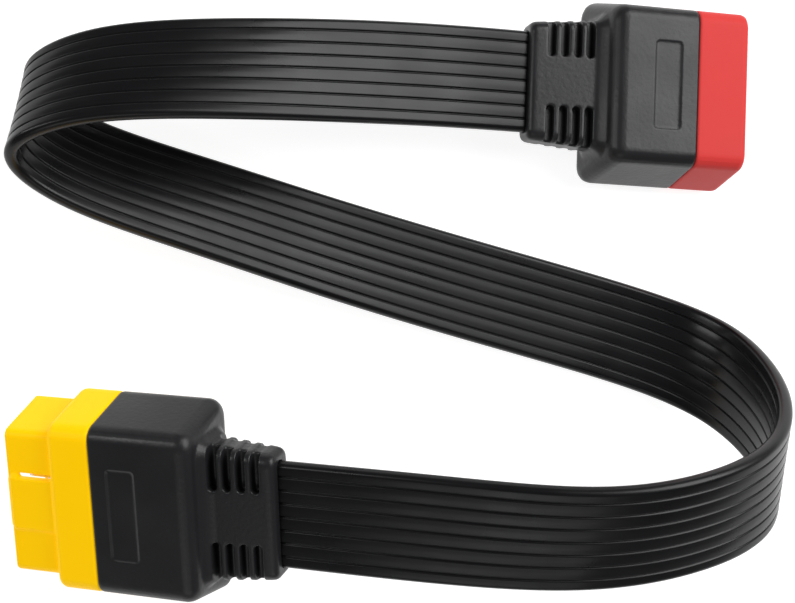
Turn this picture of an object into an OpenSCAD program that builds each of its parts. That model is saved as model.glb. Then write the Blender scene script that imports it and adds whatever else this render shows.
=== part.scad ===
// Sixteen-way flat extension cable: moulded male plug, moulded female socket
// and a ribbed flat cable between them, posed as it lies on a surface.
// Millimetres, +Z up. The whole is centred over its two connectors.

/* [Moulded body] */
// Length of the body block, rear shoulder to mouth
body_len = 36.5; // [30:0.5:40]
// Width of the wide (lower) face
wide_w = 51.4; // [44:0.1:54]
// Width of the narrow (upper) face
narrow_w = 40.8; // [36:0.5:42]
// Thickness of the body
body_t = 22.4; // [18:0.1:24]
// How much wider the plug's narrow face is than the socket's
plug_extra = 1.2; // [0:0.1:3]
// Radius of the long edges
edge_r = 3.8; // [1:0.1:5]
// Black part of the plug body, shoulder to colour seam
plug_black = 25.5; // [20:0.5:26]
// Black part of the socket body, shoulder to colour seam
socket_black = 22.5; // [20:0.5:26]

/* [Strain relief] */
// Length, cable exit to body shoulder
relief_len = 20.5; // [18:0.5:28]
// Width at the root and at the cable exit
relief_w = [35, 31.5];
// Thickness at the root and at the cable exit
relief_t = [12.4, 9.4];
// Slots along each side
slot_count = 4; // [2:6]
// Width of one slot
slot_w = 2.1; // [1:0.1:3]
// Slot pitch along the relief
slot_pitch = 3.5; // [2.5:0.1:4]
// Centre of the first slot from the cable exit, on the plug and on the socket
slot_first = [5.9, 4.3];
// How deep the slots bite into the relief's narrow sides
slot_bite = 0.1; // [0:0.1:2]
// Lean of the rear shoulder on the plug and the socket, wide face further back
rear_lean = [0.8, 3.4]; // [0:0.1:5]
// Where the strain relief begins on the plug and the socket
relief_start = [1.2, -1.4]; // [-2:0.1:2]
// Half width of the solid middle between the slots
slot_inner = 7.6; // [5:0.1:10]

/* [Mating interface] */
// Width of the plug nose at its wide and narrow side
nose_w = [45.4, 36.6];
// Thickness of the plug nose
nose_t = 17.8; // [15:0.1:19]
// How far the nose stands out of the collar
nose_len = 12.5; // [10:0.5:14]
// Wall of the nose
nose_wall = 1.6; // [1.2:0.1:2]
// Clearance between nose and socket
fit_gap = 0.3; // [0.1:0.05:0.5]
// Height, width and slit of the raised key on the nose
key_h = 0.9; // [0.6:0.1:1.4]
key_w = 13; // [10:0.5:16]
slit_w = 1.3; // [0.8:0.1:1.6]

/* [Contacts] */
// Contacts in one row
per_row = 8; // [8:8]
// Pitch along a row
pin_pitch = 4; // [4:4]
// Distance of each row from the middle plane
row_z = 4; // [3.5:0.1:4.5]
// Width and thickness of a male blade
blade = [1.5, 0.8];
// Length of the bare blade in front of the carrier
blade_len = 8.4; // [7:0.1:10]

/* [Flat cable] */
// Width of the flat cable
cable_w = 27; // [24:0.5:30]
// Thickness of the flat cable
cable_t = 3.6; // [3:0.1:4]
// Rings per stretch between two route points
cable_steps = 3; // [2:4]

/* [Hidden] */

eps = 0.02;
front_x = relief_len + body_len;
plate_t = 2;
sleeve_r = 1.1;
sleeve_x = [29, 35];
tail_r = 0.6;
wire_r = 0.6;
buried = 18;
lip = 0.3;
core_t = 2.5;
label = [7.5, 23.5, 0.3];

// --- pose of each connector: cable exit position, then roll, pitch and yaw
socket_at = [26, 63.45, 15.55];
socket_turn = [0, 4.5, 2.4];
plug_at = [-30.5, -51.65, 43];
plug_turn = [-19, 25, 180.3];
// moves the pair of connectors over the origin, lowest point on the surface
base = [7.557, -7.688, -0.022];

function rx(a, v) = [v[0], v[1] * cos(a) - v[2] * sin(a), v[1] * sin(a) + v[2] * cos(a)];
function ry(a, v) = [v[0] * cos(a) + v[2] * sin(a), v[1], -v[0] * sin(a) + v[2] * cos(a)];
function rz(a, v) = [v[0] * cos(a) - v[1] * sin(a), v[0] * sin(a) + v[1] * cos(a), v[2]];
function turned(t, v) = rz(t[2], ry(t[1], rx(t[0], v)));
function unit(v) = v / norm(v);

module at_plug() { translate(base + plug_at) rotate(plug_turn) children(); }
module at_socket() { translate(base + socket_at) rotate(socket_turn) children(); }
// stands a profile in the Y-Z plane and runs it along +X from x0 to x1
module run(x0, x1) { translate([x0, 0, 0]) rotate([90, 0, 90]) linear_extrude(x1 - x0) children(); }

// --- rounded trapezoid, wide side down: list of [y, z]
arc_n = 5;
function corner(a, b, c, r) = let (
    u = unit(a - b), v = unit(c - b), half = acos(u * v) / 2,
    o = b + unit(u + v) * r / sin(half), s = b + u * r / tan(half) - o, e = b + v * r / tan(half) - o)
    [for (i = [0:arc_n]) let (d = unit(s * (1 - i / arc_n) + e * (i / arc_n))) o + d * r];
function trap(ww, nw, t, r) = let (
    p = [[-ww / 2, -t / 2], [ww / 2, -t / 2], [nw / 2, t / 2], [-nw / 2, t / 2]])
    [for (i = [0:3]) each corner(p[(i + 3) % 4], p[i], p[(i + 1) % 4], r)];
function ring_at(x, pts) = [for (p = pts) [x, p[0], p[1]]];
// g widens the narrow face: plug_extra on the plug, 0 on the socket
function body_ring(x, d, g) = ring_at(x, trap(wide_w - 2 * d, narrow_w + g - 2 * d,
    body_t - 2 * d, max(edge_r - d / 2, 0.4)));
function key_ring(x, d) = ring_at(x, [for (p = trap(key_w + 4 - d, key_w - d, 2 * key_h, 0.3))
    [p[0], p[1] + nose_t / 2 - d / 2]]);
function relief_ring(x, d) = let (k = x / relief_len,
    w = relief_w[1] + (relief_w[0] - relief_w[1]) * k - 2 * d,
    t = relief_t[1] + (relief_t[0] - relief_t[1]) * k - 2 * d)
    ring_at(x, trap(w, w, t, 2.6 - d));

// --- solid through a list of equal rings
module loft(rings) {
  n = len(rings[0]);
  m = len(rings);
  polyhedron(points = [for (r = rings) each r], faces = concat(
      [[for (i = [0:n - 1]) i]],
      [for (j = [0:m - 2], i = [0:n - 1])
          [j * n + i, (j + 1) * n + i, (j + 1) * n + (i + 1) % n, j * n + (i + 1) % n]],
      [[for (i = [n - 1:-1:0]) (m - 1) * n + i]]));
}

// --- cable section: flat with cut corners, list of [across, through]
cut = 0.9;
cable_section = let (w = cable_w / 2, t = cable_t / 2)
    [[-w, -t + cut], [-w + cut, -t], [w - cut, -t], [w, -t + cut],
     [w, t - cut], [w - cut, t], [-w + cut, t], [-w, t - cut]];

// --- contact positions and wire geometry
function col_y(i) = (i - (per_row - 1) / 2) * pin_pitch;
function wire_y(i, up) = (2 * i + (up ? 1 : 0) - (2 * per_row - 1) / 2) * cable_w / (2 * per_row);
module tails(up, x0, x1, r) {
  for (i = [0:per_row - 1]) translate([x0, col_y(i), up ? row_z : -row_z]) rotate([0, 90, 0])
    cylinder(h = x1 - x0, r = r, $fn = 20);
}
function disc(x, y, z, r) = [for (k = [0:9]) [x, y + r * cos(36 * k), z + r * sin(36 * k)]];
module wires(up) {
  z = up ? row_z : -row_z;
  for (i = [0:per_row - 1]) loft([disc(buried, wire_y(i, up), 0, wire_r),
      disc(sleeve_x[0], col_y(i), z, wire_r), disc(sleeve_x[0] + 2.9, col_y(i), z, wire_r)]);
}
module sleeves(up) {
  difference() {
    tails(up, sleeve_x[0], sleeve_x[1], sleeve_r);
    tails(up, sleeve_x[0] - 1, sleeve_x[1] + 1, tail_r);
  }
}
module block(x0, x1, w, t) { translate([x0, -w / 2, -t / 2]) cube([x1 - x0, w, t]); }

// --- inner mould: fills the overmould round the wire ends
module inner_space(x1) {
  block(buried, 24, 30, 8);
  block(24 - eps, x1, 36, 14);
}
module inner_mould(seam) {
  difference() {
    union() { block(buried, 24, 30, 8); block(24, seam - plate_t, 36, 14); }
    for (up = [false, true]) {
      wires(up);
      tails(up, sleeve_x[0], sleeve_x[1], sleeve_r);
      tails(up, sleeve_x[1] - 1, seam, tail_r);
    }
  }
}
module rear_plate(seam) {
  difference() {
    block(seam - plate_t, seam, 36, 14);
    for (up = [false, true]) tails(up, seam - plate_t - 1, seam + 1, tail_r);
  }
}

// --- black overmould with slotted strain relief and blank label panel
function leaned(ring, k) = [for (p = ring) [p[0] - k * (0.5 - p[2] / body_t), p[1], p[2]]];
module slot_bars(first) {
  for (i = [0:slot_count - 1], s = [-1, 1]) translate([first + i * slot_pitch, 0, 0]) {
    translate([-slot_w / 2, s > 0 ? slot_inner : -slot_inner - 12, -8]) cube([slot_w, 12, 16]);
    translate([0, s * slot_inner, -8]) cylinder(h = 16, r = slot_w / 2, $fn = 20);
  }
}
module slot_core() {
  w0 = relief_w[1] / 2 - slot_bite;
  w1 = relief_w[0] / 2 - slot_bite;
  translate([0, 0, -core_t]) linear_extrude(2 * core_t)
    polygon([[0, -w0], [relief_len, -w1], [relief_len, w1], [0, w0]]);
}
// seam: front end; first: first slot; g: see body_ring; lean: how far the rear face leans back at
// the wide side; start: where the strain relief begins
module overmould(seam, first, label_x, g, lean, start) {
  s = relief_len;
  difference() {
    union() {
      loft([relief_ring(start, 1.1), relief_ring(start + 0.4, 0.45), relief_ring(start + 1, 0.1),
          relief_ring(start + 1.8, 0),
          relief_ring(s - 4.4, 0), leaned(relief_ring(s - 3.5, -0.2), 0.2 * lean),
          leaned(relief_ring(s - 2.6, -0.6), 0.5 * lean), leaned(relief_ring(s - 1.8, -1.1), 0.7 * lean),
          leaned(relief_ring(s - 1.1, -1.7), 0.9 * lean), leaned(relief_ring(s, -2), lean)]);
      loft([leaned(body_ring(s - 0.9, 3, g), lean), leaned(body_ring(s - 0.6, 2, g), lean),
          leaned(body_ring(s - 0.1, 1.25, g), lean), leaned(body_ring(s + 0.6, 0.65, g), lean),
          leaned(body_ring(s + 1.5, 0.22, g), lean), leaned(body_ring(s + 2.6, 0, g), lean),
          body_ring(s + 9, 0, g), body_ring(seam - 0.4, 0, g), body_ring(seam, lip, g)]);
    }
    difference() {
      slot_bars(first);
      slot_core();
    }
    inner_space(seam + 1);
    run(min(start, 0) - 1, buried + eps) polygon(cable_section);
    translate([label_x + label[0] / 2, 0, body_t / 2 - label[2]]) linear_extrude(2)
      polygon(trap(label[0], label[0], label[1], 1));
  }
}

// --- plug side
plug_seam = relief_len + plug_black;
nose_out = trap(nose_w[0], nose_w[1], nose_t, 2.2);
nose_in = trap(nose_w[0] - 2 * nose_wall, nose_w[1] - 2 * nose_wall, nose_t - 2 * nose_wall, 1.2);
carrier_x = front_x + 1;

module male_overmould() {
  color("#2b2b2d") at_plug()
    overmould(plug_seam, slot_first[0], plug_seam - 11.9, plug_extra, rear_lean[0], relief_start[0]);
}
module male_front_shell() {
  color("#f7c400") at_plug() difference() {
    union() {
      loft([body_ring(plug_seam, lip, plug_extra), body_ring(plug_seam + 0.4, 0, plug_extra),
          body_ring(front_x - 1.4, 0, plug_extra), body_ring(front_x - 0.5, 0.35, plug_extra),
          body_ring(front_x, 1.1, plug_extra)]);
      run(front_x - 1, front_x + nose_len) polygon(nose_out);
      loft([key_ring(front_x - 1, 0), key_ring(front_x + nose_len - 1.2, 0),
          key_ring(front_x + nose_len, 1.2)]);
    }
    run(plug_seam - 1, front_x + nose_len + 1) polygon(nose_in);
    translate([front_x + 0.6, -key_w / 2 - 1.2, nose_t / 2 - 3]) cube([nose_len - 3.2, slit_w, 6]);
  }
}
module pocket(i, up, x0, x1, w, h) {
  translate([x0, col_y(i) - w / 2, (up ? row_z : -row_z) - h / 2]) cube([x1 - x0, w, h]);
}
module male_contact_carrier() {
  color("#e8b800") at_plug() difference() {
    run(plug_seam, carrier_x) polygon(nose_in);
    for (up = [false, true]) {
      tails(up, plug_seam - 1, plug_seam + 1.5, tail_r);
      for (i = [0:per_row - 1]) {
        pocket(i, up, plug_seam + 1, plug_seam + 3, 2, 2);
        pocket(i, up, plug_seam + 2, carrier_x + 1, blade[0], blade[1]);
      }
    }
  }
}
module pins(up) {
  tails(up, sleeve_x[0] + 3.1, plug_seam + 1.5, tail_r);
  for (i = [0:per_row - 1]) {
    pocket(i, up, plug_seam + 1, plug_seam + 3, 2, 2);
    pocket(i, up, plug_seam + 2.5, carrier_x + blade_len - 1, blade[0], blade[1]);
    translate([carrier_x + blade_len - 1 - eps, col_y(i), up ? row_z : -row_z])
      rotate([90, 0, 0]) linear_extrude(blade[0], center = true)
        polygon([[0, -blade[1] / 2], [1, -blade[1] / 5], [1, blade[1] / 5], [0, blade[1] / 2]]);
  }
}
module male_rear_plate() { color("#3a3a3a") at_plug() rear_plate(plug_seam); }
module male_inner_mould() { color("#55524a") at_plug() inner_mould(plug_seam); }
module male_upper_pins() { color("#c9c9c4") at_plug() pins(true); }
module male_lower_pins() { color("#c9c9c4") at_plug() pins(false); }
module male_upper_sleeves() { color("#1c1c1c") at_plug() sleeves(true); }
module male_lower_sleeves() { color("#1c1c1c") at_plug() sleeves(false); }
module male_upper_wires() { color("#7a3030") at_plug() wires(true); }
module male_lower_wires() { color("#30407a") at_plug() wires(false); }

// --- socket side
socket_seam = relief_len + socket_black;
cavity = trap(nose_w[0] + 2 * fit_gap, nose_w[1] + 2 * fit_gap, nose_t + 2 * fit_gap, 2.4);
island = trap(nose_w[0] - 2 * nose_wall - 2 * fit_gap, nose_w[1] - 2 * nose_wall - 2 * fit_gap,
    nose_t - 2 * nose_wall - 2 * fit_gap, 1);
flange_t = 1.5;
island_x = front_x - 0.6;
box = [2.4, 2];

module female_overmould() {
  color("#3b3b3e") at_socket() overmould(socket_seam, slot_first[1], socket_seam - 12.3, 0,
      rear_lean[1], relief_start[1]);
}
module female_shroud() {
  color("#e0473f") at_socket() difference() {
    loft([body_ring(socket_seam, lip, 0), body_ring(socket_seam + 0.4, 0, 0),
        body_ring(front_x - 1.4, 0, 0), body_ring(front_x - 0.5, 0.3, 0), body_ring(front_x, 0.9, 0)]);
    run(socket_seam - 1, front_x + 1) polygon(cavity);
    translate([socket_seam + flange_t, -key_w / 2 - 2 - fit_gap, nose_t / 2 - 1])
      cube([body_len, key_w + 4 + 2 * fit_gap, 1 + key_h + fit_gap]);
  }
}
module female_terminal_block() {
  color("#cf3d36") at_socket() difference() {
    union() {
      run(socket_seam, socket_seam + flange_t) polygon(cavity);
      run(socket_seam + flange_t / 2, island_x) polygon(island);
    }
    for (up = [false, true]) {
      tails(up, socket_seam - 1, socket_seam + 2, tail_r);
      for (i = [0:per_row - 1]) {
        pocket(i, up, socket_seam + 1, island_x - 2, box[0], box[1]);
        pocket(i, up, socket_seam + 2, island_x + 1, blade[0] + 0.4, blade[1] + 0.4);
      }
    }
  }
}
module contacts(up) {
  tails(up, sleeve_x[0] + 3.1, socket_seam + 1.5, tail_r);
  difference() {
    for (i = [0:per_row - 1]) pocket(i, up, socket_seam + 1, island_x - 2, box[0], box[1]);
    for (i = [0:per_row - 1])
      pocket(i, up, socket_seam + 2.5, island_x - 1, blade[0] + 0.2, blade[1] + 0.2);
  }
}
module female_rear_plate() { color("#3a3a3a") at_socket() rear_plate(socket_seam); }
module female_inner_mould() { color("#55524a") at_socket() inner_mould(socket_seam); }
module female_upper_contacts() { color("#c9c9c4") at_socket() contacts(true); }
module female_lower_contacts() { color("#c9c9c4") at_socket() contacts(false); }
module female_upper_sleeves() { color("#1c1c1c") at_socket() sleeves(true); }
module female_lower_sleeves() { color("#1c1c1c") at_socket() sleeves(false); }
module female_upper_wires() { color("#7a3030") at_socket() wires(true); }
module female_lower_wires() { color("#30407a") at_socket() wires(false); }

// --- flat cable: route rows are [x, y, z, turn, lean], from socket to plug
function hint_of(v) = [atan2(v[0], v[1]), asin(v[2])];
sock_x = turned(socket_turn, [1, 0, 0]);
sock_y = turned(socket_turn, [0, 1, 0]);
plug_x = turned(plug_turn, [1, 0, 0]);
plug_y = turned(plug_turn, [0, -1, 0]);
socket_step = 24;
plug_step = 36;
middle = [
  [-28, 59, 25.5, 18, -13], [-59, 55, 32, 16, -18], [-86, 51, 33, 13, -21],
  [-103, 44, 26.5, 8, -22], [-104, 38, 17, 1, -22], [-88, 30, 10.5, -4, -20],
  [-56, 23.5, 6.5, -8, -15], [-19, 15, 4.2, -8, -9], [19, 7.5, 3.2, -8, -3],
  [52, 1.5, 2.4, -6, 1], [75, -4, 4.4, -4, 3], [86.5, -10, 12.5, -2, 5],
  [92, -19, 27, -2, 7], [91.5, -28.5, 42.5, -2, 13], [84, -37.5, 55.5, -1, 21],
  [66.5, -45, 65, 0, 27], [39.5, -51.5, 67.5, -1, 29]];
route = concat(
    [concat(socket_at, hint_of(sock_y)), concat(socket_at - socket_step * sock_x, hint_of(sock_y))],
    middle,
    [concat(plug_at - plug_step * plug_x, hint_of(plug_y)), concat(plug_at, hint_of(plug_y))]);
last = len(route) - 1;
ends = concat([2 * route[0] - route[1]], route, [2 * route[last] - route[last - 1]]);
function blend(t, a, b, c, d) = ((1 - t) ^ 3 * a + (3 * t ^ 3 - 6 * t ^ 2 + 4) * b
    + (-3 * t ^ 3 + 3 * t ^ 2 + 3 * t + 1) * c + t ^ 3 * d) / 6;
function slope(t, a, b, c, d) = (-(1 - t) ^ 2 * a + (3 * t ^ 2 - 4 * t) * b
    + (-3 * t ^ 2 + 2 * t + 1) * c + t ^ 2 * d) / 2;
function xyz(v) = [v[0], v[1], v[2]];
function cable_ring(c, tangent, turn, lean) = let (
    a = [sin(turn) * cos(lean), cos(turn) * cos(lean), sin(lean)],
    t = unit(tangent), across = unit(a - (a * t) * t), up = cross(across, t))
    [for (p = cable_section) base + c + p[0] * across + p[1] * up];
stops = [for (i = [0:last - 1], j = [0:cable_steps - 1]) i + j / cable_steps];
function stop_ring(s) = let (i = floor(s), t = s - i,
    p = blend(t, ends[i], ends[i + 1], ends[i + 2], ends[i + 3]),
    d = slope(t, ends[i], ends[i + 1], ends[i + 2], ends[i + 3]))
    cable_ring(xyz(p), xyz(d), p[3], p[4]);
function end_ring(at, dir, hint, depth) = cable_ring(at + depth * dir, dir, hint[0], hint[1]);
cable_rings = concat(
    [cable_ring(socket_at + buried * sock_x, -sock_x, route[0][3], route[0][4])],
    [for (s = stops) stop_ring(s)],
    [cable_ring(plug_at, plug_x, route[last][3], route[last][4]),
     cable_ring(plug_at + buried * plug_x, plug_x, route[last][3], route[last][4])]);
module flat_cable() { color("#1d1d1f") loft(cable_rings); }

male_overmould();
male_front_shell();
male_contact_carrier();
male_rear_plate();
male_inner_mould();
male_upper_pins();
male_lower_pins();
male_upper_sleeves();
male_lower_sleeves();
male_upper_wires();
male_lower_wires();
female_overmould();
female_shroud();
female_terminal_block();
female_rear_plate();
female_inner_mould();
female_upper_contacts();
female_lower_contacts();
female_upper_sleeves();
female_lower_sleeves();
female_upper_wires();
female_lower_wires();
flat_cable();
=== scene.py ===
import math

import bmesh
import bpy
from mathutils import Euler, Matrix, Vector


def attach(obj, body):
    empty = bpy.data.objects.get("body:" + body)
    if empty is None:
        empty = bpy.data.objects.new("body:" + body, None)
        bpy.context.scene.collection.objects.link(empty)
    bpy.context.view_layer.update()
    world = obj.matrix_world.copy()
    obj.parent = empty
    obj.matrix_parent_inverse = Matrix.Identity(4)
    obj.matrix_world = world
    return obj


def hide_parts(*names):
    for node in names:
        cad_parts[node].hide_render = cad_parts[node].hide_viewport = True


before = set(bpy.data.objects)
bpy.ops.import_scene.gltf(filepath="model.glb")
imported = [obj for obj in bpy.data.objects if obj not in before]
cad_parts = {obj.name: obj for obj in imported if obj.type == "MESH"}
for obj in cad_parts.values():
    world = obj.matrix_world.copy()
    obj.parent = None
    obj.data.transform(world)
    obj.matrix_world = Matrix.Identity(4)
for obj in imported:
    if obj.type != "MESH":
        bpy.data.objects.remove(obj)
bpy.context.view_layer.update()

MM = 0.001

# --------------------------------------------------------------------------
# Camera: nearly overhead, the cable lying on the floor
# --------------------------------------------------------------------------
cam_data = bpy.data.cameras.new("camera")
cam_data.lens = 67.9
cam_data.sensor_width = 36.0
cam_data.clip_start = 0.01
camera = bpy.data.objects.new("camera", cam_data)
camera.location = (-0.04915, -0.02563, 0.40086)
camera.rotation_euler = [math.radians(a) for a in (2.39, -7.92, 4.60)]
bpy.context.collection.objects.link(camera)
bpy.context.scene.camera = camera

# --------------------------------------------------------------------------
# Poses of the two connectors and the route of the cable, as in part.scad
# --------------------------------------------------------------------------
BASE = Vector((7.557, -7.688, -0.022))
SOCKET_AT, SOCKET_TURN = Vector((26, 63.45, 15.55)), (0, 4.5, 2.4)
PLUG_AT, PLUG_TURN = Vector((-30.5, -51.65, 43)), (-19, 25, 180.3)
BURIED = 18  # straight length inside each connector
BURIED_STEP = 2
CABLE_W, CABLE_T = 27.0, 3.6


def pose(at, turn):
    """Matrix that takes a connector's own frame (x to its mouth, mm) to the scene."""
    turn = Euler([math.radians(a) for a in turn], "XYZ").to_matrix().to_4x4()
    return Matrix.Translation((BASE + at) * MM) @ turn


SOCKET, PLUG = pose(SOCKET_AT, SOCKET_TURN), pose(PLUG_AT, PLUG_TURN)


def hint_of(v):
    """Turn and lean, in degrees, of the direction v."""
    return [math.degrees(math.atan2(v[0], v[1])), math.degrees(math.asin(v[2]))]


sock_x, sock_y = SOCKET.to_3x3().col[0], SOCKET.to_3x3().col[1]
plug_x, plug_y = PLUG.to_3x3().col[0], -PLUG.to_3x3().col[1]
# Free part of the route: x, y, z, then turn and lean of the cable's width
MIDDLE = [
    [-28, 59, 25.5, 18, -13], [-59, 55, 32, 16, -18], [-86, 51, 33, 13, -21],
    [-103, 44, 26.5, 8, -22], [-104, 38, 17, 1, -22], [-88, 30, 10.5, -4, -20],
    [-56, 23.5, 6.5, -8, -15], [-19, 15, 4.2, -8, -9], [19, 7.5, 3.2, -8, -3],
    [52, 1.5, 2.4, -6, 1], [75, -4, 4.4, -4, 3], [86.5, -10, 12.5, -2, 5],
    [92, -19, 27, -2, 7], [91.5, -28.5, 42.5, -2, 13], [84, -37.5, 55.5, -1, 21],
    [66.5, -45, 65, 0, 27], [39.5, -51.5, 67.5, -1, 29]]
SOCKET_STEP, PLUG_STEP = 24, 36
rows = [list(SOCKET_AT) + hint_of(sock_y), list(SOCKET_AT - SOCKET_STEP * sock_x) + hint_of(sock_y)]
rows += MIDDLE
rows += [list(PLUG_AT - PLUG_STEP * plug_x) + hint_of(plug_y), list(PLUG_AT) + hint_of(plug_y)]
# Reflected rows at both ends make the spline start and stop at the two connectors
rows = [[2 * a - b for a, b in zip(rows[0], rows[1])]] + rows
rows.append([2 * a - b for a, b in zip(rows[-1], rows[-2])])


def spline(i, t):
    """Point, direction and hint angles of the uniform cubic B-spline, stretch i at t."""
    f = ((1 - t) ** 3 / 6, (3 * t**3 - 6 * t**2 + 4) / 6, (-3 * t**3 + 3 * t**2 + 3 * t + 1) / 6,
         t**3 / 6)
    g = (-((1 - t) ** 2) / 2, (3 * t**2 - 4 * t) / 2, (-3 * t**2 + 2 * t + 1) / 2, t**2 / 2)
    p = [sum(w * rows[i + k][c] for k, w in enumerate(f)) for c in range(5)]
    d = [sum(w * rows[i + k][c] for k, w in enumerate(g)) for c in range(3)]
    return Vector(p[:3]), Vector(d).normalized(), p[3], p[4]


def cable_frame(at, along, turn, lean):
    """Centre (m), direction, width direction and face normal of one cable section."""
    turn, lean = math.radians(turn), math.radians(lean)
    hint = Vector((math.sin(turn) * math.cos(lean), math.cos(turn) * math.cos(lean),
                   math.sin(lean)))
    across = (hint - hint.dot(along) * along).normalized()
    return (BASE + at) * MM, along, across, across.cross(along)


def cable_frames(steps):
    """Sections from inside the socket to inside the plug, steps of them per stretch."""
    out = []
    for k in range(BURIED, 0, -BURIED_STEP):
        out.append(cable_frame(SOCKET_AT + k * sock_x, -sock_x, *rows[1][3:]))
    for i in range(len(rows) - 3):
        for j in range(steps):
            out.append(cable_frame(*spline(i, j / steps)))
    for k in range(0, BURIED + 1, BURIED_STEP):
        out.append(cable_frame(PLUG_AT + k * plug_x, plug_x, *rows[-2][3:]))
    return out


# --------------------------------------------------------------------------
# Materials
# --------------------------------------------------------------------------
GRAIN_STRENGTH = 0.3
CLOUD_SCALE = 60
ROUGH_DOWN, ROUGH_UP = 0.05, 0.06


def new_material(name, colour, rough, spec=0.5, metal=0.0):
    m = bpy.data.materials.new(name)
    m.use_nodes = True
    n = m.node_tree.nodes
    s = n["Principled BSDF"]
    s.inputs["Base Color"].default_value = (*colour, 1)
    s.inputs["Roughness"].default_value = rough
    s.inputs["Specular IOR Level"].default_value = spec
    s.inputs["Metallic"].default_value = metal
    return m, n, m.node_tree.links, s


def noise(n, links, scale, detail=3.0, stretch=(1, 1, 1)):
    co = n.new("ShaderNodeTexCoord")
    mp = n.new("ShaderNodeMapping")
    mp.inputs["Scale"].default_value = stretch
    tex = n.new("ShaderNodeTexNoise")
    tex.inputs["Scale"].default_value = scale
    tex.inputs["Detail"].default_value = detail
    links.new(co.outputs["Object"], mp.inputs["Vector"])
    links.new(mp.outputs["Vector"], tex.inputs["Vector"])
    return tex


def vary(n, links, fac, low, high, target):
    """Drive target between low and high by the noise value fac."""
    ramp = n.new("ShaderNodeMapRange")
    ramp.inputs["From Min"].default_value = 0.3
    ramp.inputs["From Max"].default_value = 0.7
    ramp.inputs["To Min"].default_value = low
    ramp.inputs["To Max"].default_value = high
    links.new(fac, ramp.inputs["Value"])
    links.new(ramp.outputs["Result"], target)


def tint(n, links, fac, a, b, target):
    """Drive the colour target between a and b by the noise value fac."""
    mix = n.new("ShaderNodeMix")
    mix.data_type = "RGBA"
    mix.inputs[6].default_value = (*a, 1)
    mix.inputs[7].default_value = (*b, 1)
    links.new(fac, mix.inputs[0])
    links.new(mix.outputs[2], target)


def grain(n, links, s, scale, depth):
    """Fine moulded grain as bump, depth in metres."""
    tex = noise(n, links, scale, 2.0)
    bump = n.new("ShaderNodeBump")
    bump.inputs["Strength"].default_value = GRAIN_STRENGTH
    bump.inputs["Distance"].default_value = depth
    links.new(tex.outputs["Fac"], bump.inputs["Height"])
    links.new(bump.outputs["Normal"], s.inputs["Normal"])


def moulded(name, colour, rough, grain_mm, depth, shift=0.12, spec=0.5, glow=0.0):
    """Moulded plastic. shift: how far the colour wanders. glow: emission that lifts bright colours,
    a matter of look and not a property of the plastic."""
    m, n, links, s = new_material(name, colour, rough, spec)
    cloud = noise(n, links, CLOUD_SCALE, 4)
    dark = [c * (1 - shift) for c in colour]
    light = [min(1, c * (1 + shift)) for c in colour]
    tint(n, links, cloud.outputs["Fac"], dark, light, s.inputs["Base Color"])
    vary(n, links, cloud.outputs["Fac"], rough - ROUGH_DOWN, rough + ROUGH_UP,
         s.inputs["Roughness"])
    grain(n, links, s, 1000 / grain_mm / 2, depth)
    s.inputs["Emission Color"].default_value = (*colour, 1)
    s.inputs["Emission Strength"].default_value = glow
    return m


BLACK = moulded("black_pvc_moulded", (0.013, 0.013, 0.0145), 0.36, 0.55, 0.00018, 0.15, 0.34)
CABLE = moulded("cable_pvc", (0.0040, 0.0040, 0.0048), 0.30, 1.6, 0.00003, 0.10, 0.28)
# Yellow and red carry painted light: their last argument is a glow, self-emission that brightens
# them beyond their lit colour.
YELLOW = moulded("yellow_plastic", (1.0, 0.58, 0.0), 0.42, 0.8, 0.00003, 0.03, 0.08, 0.33)
RED = moulded("red_plastic", (0.66, 0.048, 0.044), 0.48, 0.6, 0.00005, 0.06, 0.12, 0.03)
PLATE = moulded("plate_plastic", (0.05, 0.05, 0.05), 0.55, 0.5, 0.00006)
INNER = moulded("inner_plastic", (0.24, 0.23, 0.20), 0.6, 0.6, 0.00008)
SLEEVE = moulded("sleeve_plastic", (0.02, 0.02, 0.02), 0.5, 0.4, 0.00005)
WIRE_UP = moulded("upper_wire", (0.45, 0.03, 0.03), 0.4, 0.5, 0.00003)
WIRE_LOW = moulded("lower_wire", (0.03, 0.07, 0.35), 0.4, 0.5, 0.00003)


def metal():
    m, n, links, s = new_material("contact_metal", (0.72, 0.70, 0.64), 0.3, metal=1.0)
    streak = noise(n, links, 900, 3, (1, 6, 6))
    tint(n, links, streak.outputs["Fac"], (0.62, 0.60, 0.54), (0.80, 0.78, 0.72),
         s.inputs["Base Color"])
    vary(n, links, streak.outputs["Fac"], 0.22, 0.40, s.inputs["Roughness"])
    return m


METAL = metal()


def paint(obj, material):
    obj.data.materials.clear()
    obj.data.materials.append(material)


LOOKS = {
    "overmould": BLACK, "front_shell": YELLOW, "contact_carrier": YELLOW, "shroud": RED,
    "terminal_block": RED, "rear_plate": PLATE, "inner_mould": INNER, "pins": METAL,
    "contacts": METAL, "sleeves": SLEEVE, "upper_wires": WIRE_UP, "lower_wires": WIRE_LOW,
    "flat_cable": CABLE}
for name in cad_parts:
    node = bpy.data.objects[name]
    for ending, material in LOOKS.items():
        if name.endswith(ending):
            if not node.data.materials:
                node.data.materials.append(material)
            for i in range(len(node.data.materials)):
                node.data.materials[i] = material

# --------------------------------------------------------------------------
# Flat cable: eight ribs on each face, grooves between, rounded rims
# --------------------------------------------------------------------------
RIBS = 8
GROOVE_DEPTH, GROOVE_W = 0.4, 0.62
GROOVE_SHARPNESS = 1.2
CROWN = 0.05  # each rib is this much lower at its sides
RIM = 1.3  # width of the rounded edge
FACE_STATIONS, RIM_STATIONS = 176, 10
FRAMES_PER_STRETCH = 12


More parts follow.
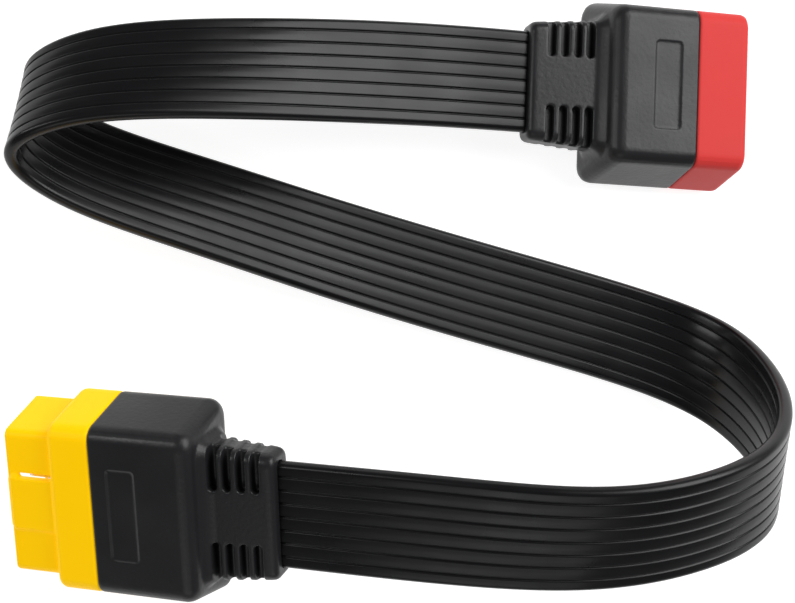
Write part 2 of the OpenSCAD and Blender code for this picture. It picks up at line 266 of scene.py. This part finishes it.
def cable_section():
    """Outline of one section in mm: one face, the rim, the other face, the other rim."""
    half, t = CABLE_W / 2, CABLE_T / 2
    flat = half - RIM
    top = []
    pitch = CABLE_W / RIBS
    for k in range(FACE_STATIONS + 1):
        y = -flat + 2 * flat * k / FACE_STATIONS
        nearest = min(abs(y - (g - RIBS / 2) * pitch) for g in range(1, RIBS))
        dip = 0.0
        if nearest < GROOVE_W / 2:
            dip = GROOVE_DEPTH * math.cos(math.pi * nearest / GROOVE_W) ** GROOVE_SHARPNESS
        rib_pos = ((y + half) / pitch) % 1 - 0.5
        crown = CROWN * (1 - math.cos(2 * math.pi * rib_pos)) / 2
        top.append((y, t - dip - crown))
    arc = []
    for k in range(1, RIM_STATIONS):
        a = math.pi / 2 - math.pi * k / RIM_STATIONS
        arc.append((flat + RIM * math.cos(a), t * math.sin(a)))
    bottom = [(y, -z) for y, z in reversed(top)]
    left = [(-y, -z) for y, z in arc]
    return top + arc + bottom + left


def build_cable():
    section = [(y * MM, z * MM) for y, z in cable_section()]
    frames = cable_frames(FRAMES_PER_STRETCH)
    verts, faces = [], []
    n = len(section)
    for at, _, across, up in frames:
        verts += [at + across * y + up * z for y, z in section]
    for j in range(len(frames) - 1):
        for i in range(n):
            k = (i + 1) % n
            faces.append((j * n + i, (j + 1) * n + i, (j + 1) * n + k, j * n + k))
    faces.append(tuple(range(n)))
    faces.append(tuple(reversed(range((len(frames) - 1) * n, len(frames) * n))))
    mesh = bpy.data.meshes.new("ribbed_cable")
    mesh.from_pydata([tuple(v) for v in verts], [], faces)
    mesh.shade_smooth()
    obj = bpy.data.objects.new("ribbed_cable", mesh)
    bpy.context.collection.objects.link(obj)
    bm = bmesh.new()
    bm.from_mesh(mesh)
    bmesh.ops.recalc_face_normals(bm, faces=bm.faces)
    bm.to_mesh(mesh)
    bm.free()
    paint(obj, CABLE)
    return obj, [f[0] for f in frames]


cable, cable_path = build_cable()
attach(cable, "root")
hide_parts("flat_cable")


# --------------------------------------------------------------------------
# Moulded bodies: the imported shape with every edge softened
# --------------------------------------------------------------------------
def soften(name, node, place, voxel, material):
    """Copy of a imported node, remeshed square to its own frame and smoothed (voxel in mm)."""
    mesh = bpy.data.objects[node].data.copy()
    mesh.transform(place.inverted())
    obj = bpy.data.objects.new(name, mesh)
    bpy.context.collection.objects.link(obj)
    remesh = obj.modifiers.new("remesh", "REMESH")
    remesh.mode = "VOXEL"
    remesh.voxel_size = voxel * MM
    smooth = obj.modifiers.new("smooth", "SMOOTH")
    smooth.factor = 0.5
    smooth.iterations = SMOOTH_PASSES
    graph = bpy.context.evaluated_depsgraph_get()
    done = bpy.data.meshes.new_from_object(obj.evaluated_get(graph))
    obj.modifiers.clear()
    obj.data = done
    done.transform(place)
    done.shade_smooth()
    paint(obj, material)
    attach(obj, "root")
    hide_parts(node)


SMOOTH_PASSES = 3
BODY_VOXEL = 0.32
FRONT_VOXEL = 0.25
soften("plug_body", "male_overmould", PLUG, BODY_VOXEL, BLACK)
soften("socket_body", "female_overmould", SOCKET, BODY_VOXEL, BLACK)
soften("plug_front", "male_front_shell", PLUG, FRONT_VOXEL, YELLOW)
soften("socket_front", "female_shroud", SOCKET, FRONT_VOXEL, RED)

# --------------------------------------------------------------------------
# Floor, world and lights
# --------------------------------------------------------------------------
bpy.ops.mesh.primitive_plane_add(size=6, location=(0, 0, 0))
floor = bpy.context.object
floor.name = "floor"
floor_material, _, _, shader = new_material("floor", (0.42, 0.42, 0.42), 0.9, 0.1)
shader.inputs["Emission Color"].default_value = (1, 1, 1, 1)
shader.inputs["Emission Strength"].default_value = 0.88
paint(floor, floor_material)

bpy.context.scene.view_settings.view_transform = "Standard"
world = bpy.data.worlds.new("world")
bpy.context.scene.world = world
world.use_nodes = True
world.node_tree.nodes["Background"].inputs["Color"].default_value = (1, 1, 1, 1)
world.node_tree.nodes["Background"].inputs["Strength"].default_value = 0.16


LAMP_TARGET = Vector((0, 0, 0.02))


def lamp(name, at, size, power):
    data = bpy.data.lights.new(name, "AREA")
    data.shape = "RECTANGLE"
    data.size, data.size_y = size
    data.energy = power
    obj = bpy.data.objects.new(name, data)
    obj.location = at
    obj.rotation_euler = (LAMP_TARGET - Vector(at)).to_track_quat("-Z", "Y").to_euler()
    bpy.context.collection.objects.link(obj)


lamp("key", (0.40, 0.32, 0.55), (0.62, 0.50), 5.6)
lamp("left", (-0.65, 0.10, 0.45), (0.12, 0.50), 1.4)
lamp("front", (-0.10, -0.70, 0.50), (0.60, 0.20), 0.7)
